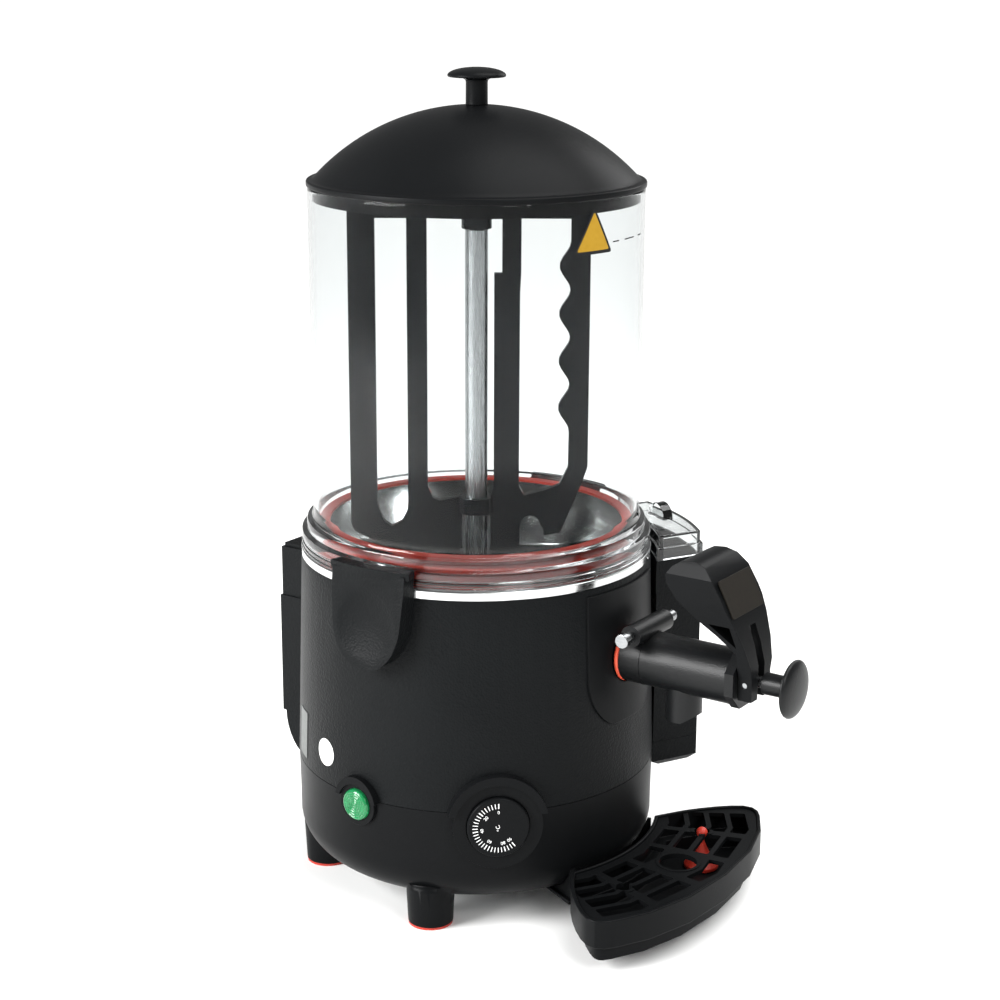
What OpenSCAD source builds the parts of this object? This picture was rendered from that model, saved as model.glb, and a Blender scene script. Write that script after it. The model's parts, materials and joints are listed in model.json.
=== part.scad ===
// Ten-litre heated drink dispenser: a round body with a clear bowl, a stirring paddle and a front tap.
// Origin on the counter under the middle of the body, tap towards -Y, +Z up, millimetres.

/* [Body] */
// Radius of the body where it meets the base
body_r = 129.6; // [126:0.2:132]
// Radius of the body at its top
body_top_r = 125; // [124:0.2:126]
// Height of the seam between base and body
seam_z = 91.5; // [88:0.5:95]
// Height of the top of the body
body_top_z = 241; // [238:1:244]
// Wall of the moulded body and base
wall = 3; // [2.5:0.1:3.5]

/* [Feet] */
// Number of feet
foot_count = 5; // [5]
// Radius of the circle that the feet stand on
foot_ring_r = 110; // [108:1:112]
// Radius of a foot at its top
foot_top_r = 17.3; // [14:0.1:18]
// Radius of a foot at its rubber pad
foot_low_r = 15.8; // [13:0.1:17]
// Thickness of the rubber pads
pad_t = 2; // [1:0.5:3]

/* [Bowl and lid] */
// Outer radius of the clear bowl
bowl_r = 116; // [114:0.5:117]
// Height of the bowl's rim
bowl_rim_z = 501; // [480:1:520]
// Wall of the clear bowl
bowl_wall = 3; // [2.5:0.1:3.5]
// Radius of the lid's flange
lid_r = 116.8; // [116:0.1:118]
// Height of the top of the lid's dome
dome_z = 555; // [545:1:565]
// Radius of the mushroom knobs
knob_r = 20; // [18:0.5:21]

/* [Tap] */
// Height of the tap's axis
tap_z = 187; // [185:1:189]
// Radius of the tap's tube
tap_r = 19; // [18:0.5:20]
// Distance of the tube's end from the body's axis
tap_end = 213; // [210:1:215]
// Half the width of the tap's lever
lever_half_w = 26; // [22:1:27]

/* [Drip tray] */
// Outer radius of the drip tray
tray_r = 210; // [204:1:214]
// Half angle of the drip tray
tray_half_a = 31; // [30:0.5:32]
// Height of the tray's rim
tray_z = 42; // [40:1:44]

/* [Filler box and rear housing] */
// Direction of the water filler's side faces, counted from the tap
filler_a = 62.5; // [61:0.5:63]
// Distance of the filler's side nearest the tap from the line through the axis
filler_near_w = 63; // [58:1:64]
// Distance of the filler's other side from that line
filler_far_w = 28; // [20:1:28]
// Outer radius of the water filler
filler_r = 166; // [160:1:168]
// Half the width of the rear housing
rear_half_w = 29; // [28:1:36]
// Distance of the rear housing's back from the axis
rear_y = 160; // [155:1:165]

/* [Controls] */
// Direction of the thermostat dial, counted from the tap
dial_a = -48.8; // [-52:0.1:-45]
// Height of the dial's axis
dial_z = 83; // [80:1:85]
// Radius of the dial
dial_r = 21.5; // [20:0.5:22]
// Direction of the power button, counted from the tap
button_a = -94; // [-97:0.5:-92]
// Height of the button's axis
button_z = 87; // [84:1:89]

/* [Hidden] */
$fn = 96;
body_slope = (body_r - body_top_r) / (body_top_z - seam_z);
flange_z = body_top_z + 6;       // where the bowl's foot flange stands
bowl_in_r = bowl_r - bowl_wall;
shaft_r = 4;
tube_r = 8;
spout_y = -173;                  // distance of the spout's axis
pivot_y = -225;                  // axis of the lever's pin
float_r = 170;                   // radius of the circle that the tray's float is on
float_a = 19;

// Radius of the body's outer surface at height z
function body_at(z) = body_r - body_slope * (z - seam_z);

// Turn from the tap's direction by a degrees about the body's axis
module at(a) rotate([0, 0, a]) children();

// Put children, drawn along +Z at the origin, on a radial axis pointing outwards at height z
module radial(a, z) at(a) translate([0, 0, z]) rotate([90, 0, 0]) children();

// Tube or ring about +Z
module ring(r_out, r_in, h) difference() {
  cylinder(r = r_out, h = h);
  translate([0, 0, -1]) cylinder(r = r_in, h = h + 2);
}

// Flat wedge between two directions counted from the tap
module wedge(a1, a2, r) polygon(concat([[0, 0]], [for (i = [0:4]) let (a = a1 + (a2 - a1) * i / 4) [r * sin(a), -r * cos(a)]]));

// Flat piece of a ring between two radii and two directions
module arc_piece(r_in, r_out, a1, a2) intersection() {
  difference() { circle(r = r_out); circle(r = r_in); }
  wedge(a1, a2, r_out * 1.3);
}

module rounded_slab(w, h, r) hull() for (x = [-1, 1], y = [-1, 1])
  translate([x * (w / 2 - r), y * (h / 2 - r)]) circle(r = r, $fn = 32);

// ---------- base ----------
module base_outline(inset) {
  corner = 30 - inset;
  polygon(concat([[92, 20 + inset], [99, 20 + inset]],
    [for (t = [0:6:84]) [99 + corner * sin(t), 20 + inset + corner * (1 - cos(t))]],
    [[body_r - 0.6 - inset, 66], [body_r - inset, seam_z], [92, seam_z]]));
}

module base_shell() color("#26282a") difference() {
  union() {
    difference() {
      rotate_extrude() base_outline(0);
      rotate_extrude() translate([-0.01, 0]) base_outline(wall);
      translate([0, 0, seam_z - 30]) cylinder(r = body_r - wall - 0.4, h = 40);
      translate([0, 0, 15]) cylinder(r = 90, h = 60);
    }
    rotate_extrude() translate([88, 20]) square([8, wall]);
    for (i = [0:foot_count - 1]) at(i * 360 / foot_count) translate([0, -foot_ring_r, pad_t])
      cylinder(r1 = foot_low_r, r2 = foot_top_r, h = 30);
  }
  for (i = [0:foot_count - 1]) at(i * 360 / foot_count) translate([0, -foot_ring_r, -1])
    cylinder(r = 3.2, h = 26);
  radial(dial_a, dial_z) translate([0, 0, 90]) cylinder(r = 28.3, h = 60);
  radial(button_a, button_z) translate([0, 0, 90]) cylinder(r = 13.2, h = 60);
  for (i = [0:3]) at(45 + 90 * i) translate([0, -93, 10]) cylinder(r = 1.7, h = 20);
}

module foot_pads() color("#b5362c") for (i = [0:foot_count - 1]) at(i * 360 / foot_count)
  translate([0, -foot_ring_r, 0]) ring(foot_low_r - 0.3, 3.2, pad_t);

module base_plate() color("#8d9093") difference() {
  translate([0, 0, 18]) cylinder(r = 97, h = 2);
  for (i = [0:3]) at(45 + 90 * i) translate([0, -93, 10]) cylinder(r = 2, h = 20);
  for (i = [-3:3]) translate([-26, i * 9 - 40 - 1.5, 10]) cube([52, 3, 20]);
  for (i = [0:foot_count - 1]) at(i * 360 / foot_count) translate([0, -foot_ring_r, 0])
    cylinder(r = foot_top_r + 0.2, h = 40);
  translate([0, 45, 10]) cylinder(r = 7, h = 20);
}

module base_screws() color("#b9bcc0") for (i = [0:3]) at(45 + 90 * i) translate([0, -93, 0]) {
  translate([0, 0, 15.6]) cylinder(r = 3.6, h = 2.4);
  translate([0, 0, 18]) cylinder(r = 1.65, h = 6);
}

// ---------- body ----------
module body_shell() color("#202224") difference() {
  rotate_extrude() polygon([[body_r - wall, seam_z + 0.3], [body_r, seam_z + 0.3],
    [body_top_r + 0.1, body_top_z - 3], [body_top_r - 0.6, body_top_z],
    [body_top_r - 14, body_top_z], [body_top_r - 14, body_top_z - wall], [body_top_r - wall, body_top_z - wall]]);
  radial(0, tap_z) translate([0, 0, 100]) cylinder(r = 15.2, h = 60);
  radial(dial_a, dial_z) translate([0, 0, 90]) cylinder(r = 28.3, h = 60);
  radial(button_a, button_z) translate([0, 0, 90]) cylinder(r = 13.2, h = 60);
}

module top_ring() color("#c9ccce") translate([0, 0, body_top_z]) ring(body_top_r, bowl_in_r - 6, 6);

// Raised panel round the tap, following the body's slope
module tap_escutcheon() color("#1d1f21") difference() {
  intersection() {
    rotate_extrude() polygon([[body_at(140) + 0.02, 140], [body_at(140) + 1.8, 140],
      [body_at(240) + 1.8, 240], [body_at(240) + 0.02, 240]]);
    translate([0, -100, 190]) rotate([90, 0, 0]) linear_extrude(60) {
      translate([-41, -14]) square([82, 60]);
      translate([0, -14]) intersection() { circle(r = 41); translate([-41, -36]) square([82, 80]); }
    }
  }
  radial(0, tap_z) translate([0, 0, 100]) cylinder(r = 20, h = 60);
}

// Shield-shaped carrying grip with a dished face and a lip along its top
module side_handle() difference() {
  union() {
    difference() {
      intersection() {
        translate([0, -100, 0]) rotate([90, 0, 0]) linear_extrude(60)
          polygon(concat([[29, 258], [29, 246]], [for (t = [0:7.5:180]) [27.5 * cos(t), 227 - 37 * sin(t)]],
            [[-29, 246], [-29, 258]]));
        lever_plane(80) polygon([[115, 188], [141, 188], [134, 258], [115, 258]]);
      }
      translate([0, -211.5, 229]) sphere(r = 78);
    }
    translate([0, 0, 256]) linear_extrude(5) arc_piece(122, 136, -13.5, 13.5);
  }
  cylinder(r1 = body_at(0) + 0.1, r2 = body_at(240) + 0.1, h = 240);
  translate([0, 0, 239.9]) cylinder(r = body_top_r + 0.1, h = 6);
  translate([0, 0, 245.8]) cylinder(r = body_top_r + 1, h = 20);
}

module side_handle_left() color("#232527") at(-87.8) side_handle();

module side_handle_right() color("#232527") at(92) side_handle();

// ---------- heating and drive, inside the body ----------
module water_tank() color("#b4b7ba") difference() {
  union() {
    translate([0, 0, 118]) cylinder(r = 116, h = body_top_z - wall - 118);
    translate([0, 45, 108]) cylinder(r = 9, h = 12);
  }
  translate([0, 0, 119.2]) cylinder(r = 114.8, h = 200);
  translate([0, 45, 100]) cylinder(r = 6, h = 30);
  translate([0, 0, 100]) cylinder(r = tube_r, h = 30);
  radial(0, tap_z) translate([0, 0, 90]) cylinder(r = 13.2, h = 60);
  for (x = [-12, 12]) translate([x, 78, 100]) cylinder(r = 3.1, h = 30);
}

module product_pan() color("#c4c6c8") difference() {
  rotate_extrude() polygon([[11, 160], [86, 160], [98, 168], [104, 182], [104, body_top_z],
    [106.5, flange_z], [106.5, 264], [104.9, 264], [104.9, flange_z + 0.4], [102.4, body_top_z + 0.4],
    [102.4, 183], [97, 169.8], [85.4, 161.6], [tube_r, 161.6], [tube_r, 160]]);
  radial(0, tap_z) translate([0, 0, 90]) cylinder(r = 12, h = 30);
}

module outlet_tube() color("#c4c6c8") radial(0, tap_z) translate([0, 0, 102]) difference() {
  cylinder(r = 12, h = 21);
  translate([0, 0, -10]) cylinder(r = 10.8, h = 60);
  rotate([90, 0, 0]) translate([0, -102, -20]) cylinder(r = 102.4, h = 40);
}

module outlet_seal() color("#b5362c") radial(0, tap_z) translate([0, 0, 116.2]) ring(15, 12, 5.6);

module heating_element() color("#8b8f93") {
  translate([0, 0, 131]) rotate_extrude() translate([78, 0]) circle(r = 4, $fn = 32);
  for (x = [-12, 12]) translate([x, 78, 0]) { translate([0, 0, 96]) cylinder(r = 3, h = 33); }
}

module thermostat() color("#55504a") radial(dial_a, dial_z) {
  translate([-16, -14, 92]) cube([32, 28, 20]);
  translate([0, 0, 112]) cylinder(r = 3, h = 20);
  translate([0, 0, 110]) cylinder(r = 8, h = 6);
}

module gear_motor() color("#6a6e72") {
  translate([0, 0, 44]) cylinder(r = 32, h = 34);
  translate([0, 0, 78]) difference() {
    translate([-34, -30, 0]) cube([68, 60, 18]);
    translate([0, 0, -1]) cylinder(r = 5, h = 30);
  }
}

module motor_bracket() color("#9da0a3") difference() {
  translate([-48, -38, 96]) cube([96, 76, 2]);
  translate([0, 0, 90]) cylinder(r = 6, h = 20);
  for (x = [-41, 41], y = [-32, 32]) translate([x, y, 90]) cylinder(r = 2.1, h = 20);
}

module motor_screws() color("#b9bcc0") for (x = [-41, 41], y = [-32, 32]) translate([x, y, 0]) {
  translate([0, 0, 92.6]) cylinder(r = 4, h = 3.4);
  translate([0, 0, 96]) cylinder(r = 2, h = 22);
}

module tank_drain_plug() color("#b5362c") translate([0, 45, 13]) {
  cylinder(r = 11, h = 5);
  translate([0, 0, 5]) cylinder(r = 5.9, h = 98);
}

module centre_tube() color("#c9ccce") ring_between(112, 470, tube_r, 5);

module ring_between(z1, z2, r_out, r_in) translate([0, 0, z1]) ring(r_out, r_in, z2 - z1);

module shaft_seal() color("#b5362c") ring_between(113, 121, 5, shaft_r + 0.06);

module drive_shaft() color("#b9bcc0") translate([0, 0, 80]) cylinder(r = shaft_r, h = 398);

// Flat stirring frame: four upright blades, a top bar and a web across the hub
module paddle_outline() difference() {
  union() {
    translate([-89.5, 262]) square([19, 218]);
    translate([-48.5, 268]) square([14, 212]);
    translate([12.3, 240]) square([18, 200]);
    polygon([[12.3, 432], [30.3, 426], [31, 440], [31, 480], [17.8, 480], [17.8, 440]]);
    polygon(concat([[48, 251], [60, 253.5], [75, 290], [79, 302], [79, 485], [65.3, 485], [65.3, 468]],
      [for (i = [36:-1:0]) [61.4 + 3.9 * cos(i * 40), 328 + i * 134 / 36]],
      [[65, 302], [59, 289], [48, 284.5]]));
    translate([-89.5, 478]) square([168.9, 12]);
    polygon(concat([for (t = [180:10:270]) [-74.5 + 15 * cos(t), 262 + 15 * sin(t)]],
      [[-54, 242], [-20, 241], [12.3, 239], [31, 240], [31, 256]],
      [for (t = [180:-15:0]) [38.5 + 7 * cos(t), 259 + 7 * sin(t)]],
      [[52, 252.4], [56, 253], [62, 270], [52.7, 286], [34, 281], [29, 290], [13, 290], [10, 280], [-12, 280],
       [-26, 277], [-31, 279], [-34.5, 288], [-48.5, 288], [-49, 270], [-53, 262], [-60, 257.5],
       [-66, 262], [-70.5, 274], [-89.5, 274]]));
    translate([-86, 186]) square([74, 60]);
    translate([12, 186]) square([74, 57]);
  }
  translate([-70, 200]) square([48, 30]);
  translate([24, 200]) square([48, 30]);
}

// The frame's own plane at rest is 34 degrees off the X axis
module paddle() color("#2b2d30") at(-56) difference() {
  translate([0, 2.75, 0]) rotate([90, 0, 0]) linear_extrude(5.5) paddle_outline();
  translate([0, 0, 150]) cylinder(r = 10.5, h = 350);
}

module paddle_hub() color("#202224") {
  difference() {
    translate([0, 0, 268]) cylinder(r = 12.4, h = 12);
    translate([0, 0, 260]) cylinder(r = tube_r + 0.08, h = 30);
    at(-56) translate([10, -2.8, 260]) cube([5, 5.6, 30]);
    at(-56) translate([-15, -2.8, 260]) cube([5, 5.6, 30]);
  }
  difference() {
    translate([0, 0, 471]) cylinder(r = 10.5, h = 20);
    translate([0, 0, 460]) cylinder(r = shaft_r, h = 18);
  }
}

// ---------- bowl and lid ----------
// A lipped ring on the pan's rim and two round-edged rings below it
module bowl_gasket() color("#b5362c") {
  rotate_extrude() polygon([[104.2, 264.1], [112.2, 264.1], [112.4, 264.6], [112.4, 265.4], [112, 266], [104.2, 266]]);
  for (z = [252, 259]) rotate_extrude() polygon([[106.6, z - 1], [111.6, z - 1], [112.4, z - 0.4], [112.4, z + 0.4],
    [111.6, z + 1], [106.6, z + 1]]);
}

module bowl() color("#dfe6ea", 0.35) translate([0, 0, flange_z]) rotate_extrude() polygon([[bowl_in_r, 0.1],
  [124.2, 0.1], [124.6, 0.6], [124.6, 2], [123.8, 2.5], [123.8, 3.5], [124.6, 4], [124.6, 5.4], [123.8, 6], [123.8, 7],
  [124.4, 7.6], [124.4, 12], [123.4, 13.4], [120.6, 13.8], [120.6, 19.6], [119.6, 20.8], [117.4, 21.4], [116.4, 23],
  [bowl_r, 26], [bowl_r, bowl_rim_z - flange_z], [bowl_in_r, bowl_rim_z - flange_z]]);

module lid() color("#1e2022") {
  dome_r = (112 * 112 + (dome_z - 506) * (dome_z - 506)) / (2 * (dome_z - 506));
  rim_a = asin(112 / dome_r);
  difference() {
    rotate_extrude() polygon(concat(
      [for (i = [0:20]) let (t = rim_a * i / 20) [dome_r * sin(t), dome_z - dome_r * (1 - cos(t))]],
      [[113.2, 505.5], [lid_r - 1.2, 505.2], [lid_r, 504], [lid_r, bowl_rim_z + 0.9], [lid_r - 0.6, bowl_rim_z + 0.1],
       [bowl_in_r - 0.5, bowl_rim_z + 0.1], [bowl_in_r - 0.5, 492], [bowl_in_r - 3, 492], [bowl_in_r - 3, 502.4]],
      [for (i = [20:-1:0]) let (t = rim_a * i / 20 * 0.965) [(dome_r - 3) * sin(t), dome_z - 3 - (dome_r - 3) * (1 - cos(t))]]));
    translate([0, 0, 540]) cylinder(r = 2.2, h = 30);
  }
}

// Mushroom knob along +Z from its foot at the origin
module mushroom(h) difference() {
  rotate_extrude() polygon(concat([[0, 0], [7.6, 0], [7.5, h - 9], [9.5, h - 7.4], [knob_r - 1.2, h - 6.6]],
    [for (t = [-60:15:0]) [knob_r - 1 + cos(t), h - 5.6 + sin(t)]],
    [for (i = [0:10]) let (t = 90 * i / 10) [knob_r * cos(t), h - 5.6 + 5.6 * sin(t)]]));
  translate([0, 0, -1]) cylinder(r = 2.05, h = h - 5);
}

module lid_knob() color("#1e2022") translate([0, 0, dome_z]) mushroom(25);

module lid_knob_screw() color("#b9bcc0") {
  translate([0, 0, dome_z - 5.6]) cylinder(r = 4.2, h = 2.5);
  translate([0, 0, dome_z - 3]) cylinder(r = 2, h = 18);
}

// ---------- tap ----------
module tap_body() color("#1d1f21") difference() {
  union() {
    radial(0, tap_z) {
      translate([0, 0, 131.05]) cylinder(r = tap_r, h = tap_end - 131.05);
      translate([0, 0, 123]) cylinder(r = 15, h = 9);
      translate([0, 0, 146]) cylinder(r = tap_r + 0.5, h = 1.2);
      translate([0, 0, tap_end]) rotate([0, 0, 22.5]) cylinder(r = tap_r + 1.6, h = 6.5, $fn = 8);
    }
    translate([0, spout_y, tap_z - 38]) cylinder(r = 12.5, h = 30);
    translate([-23, -143, tap_z + 21]) rotate([0, 90, 0]) cylinder(r = 7.5, h = 46);
    translate([-9, -149, tap_z + 8]) cube([18, 12, 13]);
  }
  radial(0, tap_z) {
    translate([0, 0, 120]) cylinder(r = 11, h = 62);
    translate([0, 0, 180]) cylinder(r = 15.5, h = tap_end - 182);
    translate([0, 0, 200]) cylinder(r = 4.15, h = 30);
  }
  translate([0, spout_y, tap_z - 60]) cylinder(r = 10, h = 60);
  translate([0, spout_y, tap_z - 44]) rotate([-32, 0, 0]) translate([-20, -20, -11]) cube([40, 60, 14]);
  translate([-40, -143, tap_z + 21]) rotate([0, 90, 0]) cylinder(r = 4.1, h = 80);
}

module tap_o_ring() color("#e04a35") radial(0, tap_z) translate([0, 0, 129.1]) rotate_extrude()
  translate([17.2, 0]) circle(r = 1.9, $fn = 32);

module tap_piston() color("#b9bcc0") radial(0, tap_z) difference() {
  union() {
    translate([0, 0, 158]) cylinder(r = 4, h = 82);
    translate([0, 0, 160]) cylinder(r = 9.5, h = 4);
  }
  translate([0, 0, -pivot_y]) rotate([0, 90, 0]) translate([0, 0, -10]) cylinder(r = 2, h = 20);
}

module piston_seal() color("#b5362c") radial(0, tap_z) translate([0, 0, 164]) difference() {
  cylinder(r = 10.9, h = 19.5);
  translate([0, 0, -1]) cylinder(r = 4, h = 30);
}

// Compression spring between the piston's seal and the end of the tube
module tap_spring() color("#a9adb1") radial(0, tap_z) for (i = [0:6])
  translate([0, 0, 184.6 + i * 4]) rotate_extrude() translate([8.5, 0]) circle(r = 0.8, $fn = 16);

module tap_knob() color("#1d1f21") radial(0, tap_z) translate([0, 0, 234]) difference() {
  mushroom(26);
  translate([0, 0, -1]) cylinder(r = 4, h = 7);
}

module lever_side() polygon([[170, 258], [174, 264], [181, 268], [190, 269], [198, 266.5], [205, 259],
  [213, 246], [221, 230], [227, 214], [230.5, 200], [230.5, 176], [220.3, 176], [220.3, 209.5],
  [208, 220], [192, 231], [178, 243], [171, 252]]);

module lever_hollow() polygon([[176, 250], [177, 260], [183, 264.5], [190, 265.6], [196, 263], [202, 256],
  [210, 243], [217.5, 228], [221, 214], [209, 223], [194, 234]]);

// Places the lever's side profile, drawn as distance from the axis against height
module lever_plane(w) translate([w / 2, 0, 0]) rotate([90, 0, -90]) linear_extrude(w) children();

module tap_lever() color("#26282a") difference() {
  intersection() {
    lever_plane(lever_half_w * 2) lever_side();
    translate([0, -150, 0]) rotate([90, 0, 0]) linear_extrude(100)
      polygon([[-13, 170], [13, 170], [13.5, 192], [lever_half_w, 240], [lever_half_w, 259], [lever_half_w - 3, 266],
        [lever_half_w - 11, 280], [11 - lever_half_w, 280], [3 - lever_half_w, 266], [-lever_half_w, 259],
        [-lever_half_w, 240], [-13.5, 192]]);
  }
  lever_plane(lever_half_w * 2 - 6) lever_hollow();
  translate([-4.4, -240, 170]) cube([8.8, 30, 56]);
  translate([-20, pivot_y, tap_z]) rotate([0, 90, 0]) cylinder(r = 2, h = 40);
}

module lever_badge() color("#6b6250") translate([0, -213, 246]) rotate([63.43, 0, 0])
  translate([0, 0, 0.02]) linear_extrude(1) rounded_slab(44, 27, 2);

module lever_pin() color("#b9bcc0") translate([-12.6, pivot_y, tap_z]) rotate([0, 90, 0]) cylinder(r = 1.95, h = 25.2);

module lock_pin() color("#d0d2d4") translate([-34, -143, tap_z + 21]) rotate([0, 90, 0]) {
  cylinder(r = 4.05, h = 68);
  translate([0, 0, -1.5]) cylinder(r = 5, h = 5);
}

// ---------- drip tray ----------
// Flat plan of the tray, set in from its edge; the list gives the radius and half angle along one end
module tray_shape(inset) {
  end = [[133, 25.6], [142, 28], [153, 30.4], [165, 32.1], [178, 33.3], [190, 33.9], [199, 33.9], [205.5, 33], [209, 31.3],
    [tray_r, 29], [tray_r + 1.5, 22], [tray_r + 1, 12]];
  difference() {
    offset(delta = -inset) polygon(concat([[0, -tray_r]], [for (p = [11:-1:0]) end[p][0] * [-sin(end[p][1]), -cos(end[p][1])]],
      [[0, -60]], [for (p = end) p[0] * [sin(p[1]), -cos(p[1])]]));
    circle(r = 133 + inset);
  }
}

module drip_tray() color("#1d1f21") difference() {
  union() {
    translate([0, 0, 22]) linear_extrude(tray_z - 22) tray_shape(0);
    translate([0, 0, 10]) linear_extrude(13) tray_shape(7);
  }
  translate([0, 0, 24.5]) linear_extrude(30) tray_shape(2.5);
  translate([0, 0, 12.5]) linear_extrude(30) tray_shape(9.5);
}

module drip_grille() color("#242628") difference() {
  union() {
    translate([0, 0, tray_z - 4.5]) linear_extrude(3) tray_shape(2.9);
    translate([0, -172, tray_z - 4.5]) cylinder(r = 15.5, h = 3.6);
    for (s = [-1, 1]) at(s * float_a) translate([0, -float_r, tray_z - 4.5]) cylinder(r = 8.2, h = 3.6);
  }
  for (lane = [0:3], c = [-2:2]) if (c != 0 || lane == 0 || lane == 3)
    translate([0, 0, tray_z - 10]) linear_extrude(20) offset(r = 1.4, $fn = 16) offset(delta = -1.4)
      arc_piece(144.5 + lane * 15.5, 156.2 + lane * 15.5, c * 12.6 - 5.2, c * 12.6 + 5.2);
  translate([0, -172, tray_z - 10]) cylinder(r = 13.3, h = 20);
  for (s = [-1, 1]) at(s * float_a) translate([0, -float_r, tray_z - 10]) cylinder(r = 5.6, h = 20);
}

module tray_float() color("#c23a2c") at(float_a) translate([0, -float_r, 13.2]) {
  rotate_extrude() polygon([[0, 0], [12.5, 0], [12.5, 2.5], [7.5, 8], [4, 15], [2, 20], [2, 26], [0, 26]]);
  translate([0, 0, 26.5]) sphere(r = 4.1);
}

// Two cheeks under the base that hold the tray, and the plate that joins them
module tray_bracket() color("#26282a") {
  for (s = [-1, 1]) at(s * 24) translate([1.5, 0, 0]) rotate([90, 0, -90]) linear_extrude(3)
    polygon(concat([[100, 17.4], [130.8, 17.4], [130.8, 41]], [for (t = [17:8:89]) [99 + 30.4 * cos(t), 50 - 30.4 * sin(t)]]));
  difference() {
    translate([0, 0, 16.6]) linear_extrude(2.6) arc_piece(98.4, 131.5, -26, 26);
    translate([0, -foot_ring_r, 0]) cylinder(r = foot_top_r + 0.4, h = 40);
  }
}

// ---------- water filler ----------
module filler_plan(inset) difference() {
  intersection() {
    circle(r = filler_r - inset);
    translate([-filler_near_w + inset, -200]) square([filler_near_w + filler_far_w - 2 * inset, 200]);
  }
  circle(r = body_r + 0.1 + inset);
}

module filler_box() color("#212325") at(filler_a) difference() {
  union() {
    translate([0, 0, seam_z]) linear_extrude(231 - seam_z) filler_plan(0.6);
    translate([0, 0, 207]) linear_extrude(24) filler_plan(0);
  }
  translate([0, 0, seam_z + wall]) linear_extrude(200) filler_plan(wall);
}

module filler_base() color("#232527") at(filler_a) difference() {
  hull() {
    translate([0, 0, 71]) linear_extrude(1) filler_plan(6);
    translate([0, 0, 76]) linear_extrude(seam_z - 76.1) filler_plan(0.6);
  }
  cylinder(r = body_r + 0.4, h = 200);
}

module filler_lid() color("#e6ecef", 0.35) at(filler_a) {
  difference() {
    union() {
      translate([0, 0, 231.2]) linear_extrude(9) filler_plan(0.2);
      translate([0, 0, 240.1]) linear_extrude(9) filler_plan(2.2);
    }
    translate([0, 0, 225]) linear_extrude(22) filler_plan(4.6);
  }
  translate([-15, -147, 249]) intersection() {
    rotate([90, 0, 0]) translate([0, 0, -4]) cylinder(r = 11, h = 8);
    translate([-20, -20, -0.2]) cube([40, 40, 20]);
  }
}

// ---------- rear housing ----------
module rear_plan(inset) difference() {
  translate([-rear_half_w + inset, 60]) square([2 * (rear_half_w - inset), rear_y - inset - 60]);
  circle(r = body_r + 0.1 + inset);
}

module rear_housing() color("#212325") difference() {
  union() {
    translate([0, 0, seam_z]) linear_extrude(184 - seam_z) rear_plan(0);
    translate([rear_half_w - 1, 0, 0]) rotate([90, 0, -90]) linear_extrude(2 * rear_half_w - 2)
      polygon(concat([[-128.6, 52]], [for (t = [0:10:90]) [-130 - 28 * sin(t), 92 - 38 * cos(t)]],
        [[-158, seam_z + 1], [-129.75, seam_z + 1], [-129.75, 66]]));
  }
  translate([0, 0, seam_z + wall]) linear_extrude(200) rear_plan(wall);
  cylinder(r = body_r + 0.1, h = 240);
  radial(180, 124) translate([0, 0, 140]) cylinder(r = 10.2, h = 40);
}

module rear_cap() color("#1d1f21") difference() {
  union() {
    translate([0, 0, 184.1]) linear_extrude(38) rear_plan(1.2);
    translate([0, 0, 222]) linear_extrude(3) rear_plan(3);
  }
  translate([0, 0, 180]) linear_extrude(41) rear_plan(wall + 1.2);
  for (x = [-20, 20]) translate([x, 170, 204]) rotate([90, 0, 0]) cylinder(r = 1.9, h = 20);
}

module rear_screws() color("#b9bcc0") for (x = [-20, 20]) translate([x, rear_y - 1.2, 204]) rotate([-90, 0, 0]) {
  cylinder(r = 3.4, h = 2);
  translate([0, 0, -8]) cylinder(r = 1.8, h = 8);
}

module cord_gland() color("#303234") radial(180, 124) difference() {
  union() {
    translate([0, 0, 150]) cylinder(r = 10, h = 10);
    translate([0, 0, rear_y]) cylinder(r = 13, h = 2.5);
    translate([0, 0, rear_y + 2.5]) cylinder(r1 = 9, r2 = 7.5, h = 7);
  }
  translate([0, 0, 140]) cylinder(r = 4.2, h = 40);
}

// ---------- controls ----------
module hooded_bezel(a, z, r, bore, front, hood) difference() {
  union() {
    radial(a, z) translate([0, 0, 118]) cylinder(r = r - 3, h = front - 118);
    difference() {
      radial(a, z) {
        translate([0, 0, 120]) cylinder(r = r, h = front - 120);
        intersection() {
          translate([0, 2, 120]) cylinder(r = r + hood, h = front + 2.5 - 120);
          translate([-r * 2, r * 0.28, 100]) cube([r * 4, r * 4, 60]);
        }
      }
      cylinder(r = body_r + 0.05, h = seam_z + 0.3);
      translate([0, 0, seam_z + 0.3]) cylinder(r1 = body_r + 0.05, r2 = body_at(seam_z + 60) + 0.05, h = 59.7);
    }
  }
  radial(a, z) translate([0, 0, 100]) cylinder(r = bore, h = 60);
  radial(a, z) translate([0, 0, front]) cylinder(r = r - 0.6, h = 20);
}

module dial_bezel() color("#1b1d1f") difference() {
  hooded_bezel(dial_a, dial_z, 31, 3.4, 132, 3.6);
  radial(dial_a, dial_z) translate([0, 0, 127.5]) cylinder(r = dial_r + 0.5, h = 20);
  radial(dial_a, dial_z) translate([0, 0, 100]) cylinder(r = 8.3, h = 18);
}

module dial() color("#232527") radial(dial_a, dial_z) difference() {
  union() {
    translate([0, 0, 128]) cylinder(r = dial_r, h = 6);
    translate([0, 0, 134]) cylinder(r1 = dial_r, r2 = dial_r - 1.2, h = 1.2);
  }
  translate([0, 0, 120]) cylinder(r = 3.06, h = 12.5);
}

module button_bezel() color("#1b1d1f") hooded_bezel(button_a, button_z, 15.4, 11.4, 131.5, 2.8);

module power_button() color("#3fae6e", 0.8) radial(button_a, button_z) {
  translate([0, 0, 124]) cylinder(r = 11.1, h = 9);
  translate([0, 0, 133]) cylinder(r1 = 11.1, r2 = 9.6, h = 1.5);
}

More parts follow.
